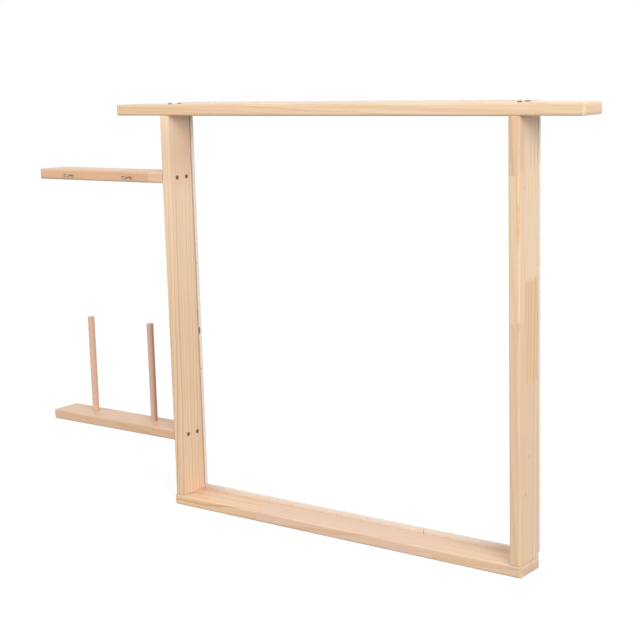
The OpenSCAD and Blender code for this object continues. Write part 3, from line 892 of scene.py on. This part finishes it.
placed = 0
for group, looks in HEADS.items():
    low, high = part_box(group)
    outward = looks.to_3x3() @ Vector((0, 0, 1))
    head_middle = (low + high) / 2 + outward * SCREW_LEN / 2
    for side, y in (("front", low[1] + HEAD_R), ("back", high[1] - HEAD_R)):
        placed += 1
        place = Matrix.Translation((head_middle[0], y, head_middle[2]))
        turn = Matrix.Rotation(math.radians(placed * TURN_STEP), 4, "Z")
        piece = copy_piece(screw, group.replace("screws", "screw_") + side, place @ looks @ turn)
        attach(piece, "frame")
        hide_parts(group)
bpy.data.objects.remove(screw)
print("screws placed:", placed)

# %% [markdown]
# ## The screw eyes
# A screw eye is one piece of wire: the end that goes into the wood is rolled into a thread,
# and the other is wound round a pin into a ring that closes almost back on itself. The wire
# here is a short cylinder. Its lower end is drawn out to the core of the thread, and its
# upper end is spun twice: aside round the inside of the neck, and then back round the
# middle of the ring. A curve with a bevel would bend as well, but the two spins are the two
# bends that the tool makes, and their radii are exact.

# %% Bend the wire
WIRE_R, WIRE_ROUND = 0.00115, 0.00025
RING_R, RING_REACH = 0.00485, 0.015
NECK_R = 0.0025
# The neck and the ring are two circles that touch, and the spins meet where they do
NECK_START = RING_REACH - math.sqrt(RING_R ** 2 + 2 * RING_R * NECK_R)
NECK_SWING = math.acos(NECK_R / (RING_R + NECK_R))
RING_SWING = math.radians(310)
NECK_STEPS, RING_STEPS = 7, 40
EYE_CORE_R, EYE_CREST_R = 0.00066, 0.00093
EYE_SCREW_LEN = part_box("screw_eye_inner")[1][1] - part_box("guide_arm")[0][1]
EYE_SHOULDER, EYE_TIP_LEN = 0.0008, 0.003
EYE_CHAMFER = 0.00005

eye = start_piece("screw_eye", bpy.ops.mesh.primitive_cylinder_add, vertices=16,
                  radius=WIRE_R, depth=NECK_START, location=(0, 0, NECK_START / 2))
bake_place(eye)
bpy.ops.object.mode_set(mode="EDIT")
pick_faces(eye, lambda face: face.normal.z < -SQUARELY)
draw_out(0, WIRE_R, [(EYE_CHAMFER, EYE_CREST_R), (EYE_SHOULDER, EYE_CORE_R),
                     (EYE_SCREW_LEN - EYE_TIP_LEN, EYE_CORE_R), (EYE_SCREW_LEN, BLUNT * EYE_CORE_R)])
pick_faces(eye, lambda face: face.normal.z > SQUARELY)
bpy.ops.mesh.spin(steps=NECK_STEPS, angle=NECK_SWING, center=(-NECK_R, 0, NECK_START), axis=(0, 1, 0))
bpy.ops.mesh.spin(steps=RING_STEPS, angle=RING_SWING, center=(0, 0, RING_REACH), axis=(0, -1, 0))
bpy.ops.mesh.bevel(offset=WIRE_ROUND, segments=2, affect="EDGES")
alone(eye)
print("bent wire:", [round(1000 * d, 2) for d in eye.dimensions], "mm")

# %% Thread the screw eye
EYE_PITCH, EYE_THREAD_START = 0.0011, 0.001
EYE_SMOOTH = math.radians(40)
join(eye, wind_thread(EYE_CORE_R, EYE_CREST_R, EYE_PITCH, EYE_THREAD_START, EYE_SCREW_LEN, EYE_TIP_LEN))
alone(eye)
bpy.ops.object.shade_smooth_by_angle(angle=EYE_SMOOTH)
eye.data.materials.append(METALS["zinc"])
print("screw eye:", [round(1000 * d, 2) for d in eye.dimensions], "mm")

# %% Place the screw eyes
turn_joints = {joint["child"]: joint for joint in frame["record"]["behaviour"]["joints"]}
yarn_mounts = {mount["name"]: mount for mount in frame["record"]["mounts"]}
for name in ("screw_eye_inner", "screw_eye_outer"):
    across = yarn_mounts[name + "_yarn"]["axis"]
    tilt = Matrix.Rotation(math.atan2(across[0], across[2]), 4, "Y")
    place = Matrix.Translation(turn_joints[name]["pos_m"])
    lying = Matrix.Rotation(math.pi / 2, 4, "X")
    piece = copy_piece(eye, name + "_bent_wire", place @ tilt @ lying)
    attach(piece, name)
    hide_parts(name)
    made_low = [min(c[i] for c in piece.bound_box) for i in range(3)]
    solid_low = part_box(name)[0]
    print(name, "differs from its solid by", [round(1000 * (a - b), 2) for a, b in zip(made_low, solid_low)])
bpy.data.objects.remove(eye)

# %% [markdown]
# ## The floor
# The object is to stand on white with nothing but a soft shadow, as on a wide sheet of
# white paper. A white floor alone would come out grey wherever less than full light falls
# on it, and it would also throw a lot of light up under the boards. So the floor is a
# middle grey sheet that glows a little, but only for rays that come from the camera or from
# a mirror or glass: to those it is white, and its shadow still shows, while the boards see
# the grey one. Far out it fades to pure white, and its edge never shows.

# %% The rays that see white
def sees_white(tree):
    """1 for rays from the camera, a mirror or glass, and 0 for light that falls on the boards."""
    ray = add(tree, "LightPath")
    seen = add(tree, "Math", {0: ray.outputs["Is Camera Ray"], 1: ray.outputs["Is Glossy Ray"]},
               operation="MAXIMUM")
    return add(tree, "Math", {0: seen, 1: ray.outputs["Is Transmission Ray"]}, operation="MAXIMUM")


print("three kinds of ray see white")

# %% The floor
FLOOR_SIZE = 40.0
FLOOR_GLOW = 0.74
# The floor fades to white between these distances from the middle of the frame
FADE_START, FADE_END = 0.9, 2.5
bpy.ops.object.select_all(action="DESELECT")
bpy.ops.mesh.primitive_plane_add(size=FLOOR_SIZE, location=(0, 0, 0))
floor = bpy.context.object
floor.name = "studio_floor"
floor_paint, tree = new_material("matt_white_floor")
place = add(tree, "TexCoord")
away = add(tree, "VectorMath", {0: place.outputs["Object"]}, operation="LENGTH")
far = add(tree, "MapRange", {0: away.outputs["Value"], 1: FADE_START, 2: FADE_END, 3: 0.0, 4: 1.0})
seen = sees_white(tree)
glow = add(tree, "Math", {0: seen, 1: FLOOR_GLOW}, operation="MULTIPLY")
matt = add(tree, "BsdfDiffuse", {"Color": "9c9c9c"})
lift = add(tree, "Emission", {"Color": "ffffff", "Strength": glow})
near_floor = add(tree, "AddShader", {0: matt, 1: lift})
white = add(tree, "Emission", {"Color": "ffffff", "Strength": 1.0})
fade = add(tree, "Math", {0: far, 1: seen}, operation="MULTIPLY")
blend = add(tree, "MixShader", {0: fade, 1: near_floor, 2: white})
add(tree, "OutputMaterial", {"Surface": blend})
floor.data.materials.append(floor_paint)
print("floor is", FLOOR_SIZE, "m square")

# %% [markdown]
# ## The light
# Every side of the boards shows nearly the same brightness, and shadows are faint and wide.
# That is a white room with a few large soft boxes. The room is the world: pure white to the
# camera and in reflections, and dimmer as a light. The strongest box stands to the right,
# in front and above, so that it lights the fronts and the right-hand sides alike, with the
# rounded edges between them a little brighter. A bigger box gives a softer edge to the
# shadow under the top rail. A second one on the left, a third as strong, keeps that shadow
# open, and the weakest one, low and behind, lights the backs and skims over the tops.

# %% The white room
SKY = 0.63
world = bpy.data.worlds.new("white_room")
bpy.context.scene.world = world
world.use_nodes = True
tree = world.node_tree
tree.nodes.clear()
level = add(tree, "Math", {0: sees_white(tree), 1: 1 - SKY, 2: SKY}, operation="MULTIPLY_ADD")
sky = add(tree, "Background", {"Color": "ffffff", "Strength": level})
add(tree, "OutputWorld", {"Surface": sky})
bpy.context.scene.view_settings.view_transform = "Standard"
print("light from all round:", SKY)

# %% The lamps
BOX_SIZE = 2.4
AIM = (0, 0, 0.4)


def soft_box(name, place, watts):
    """A square soft box that looks at the middle of the frame."""
    lamp_data = bpy.data.lights.new(name, "AREA")
    lamp_data.shape = "SQUARE"
    lamp_data.size = BOX_SIZE
    lamp_data.energy = watts
    lamp = bpy.data.objects.new(name, lamp_data)
    bpy.context.scene.collection.objects.link(lamp)
    lamp.location = place
    lamp.rotation_euler = (Vector(AIM) - Vector(place)).to_track_quat("-Z", "Y").to_euler()
    return lamp


lamps = (soft_box("key_box", (3.7, -2.1, 2.2), 138),
         soft_box("fill_box", (-2.3, -2.5, 2.0), 46),
         soft_box("back_box", (-0.4, 4.2, 1.0), 26))
print("lamps:", {lamp.name: lamp.data.energy for lamp in lamps})
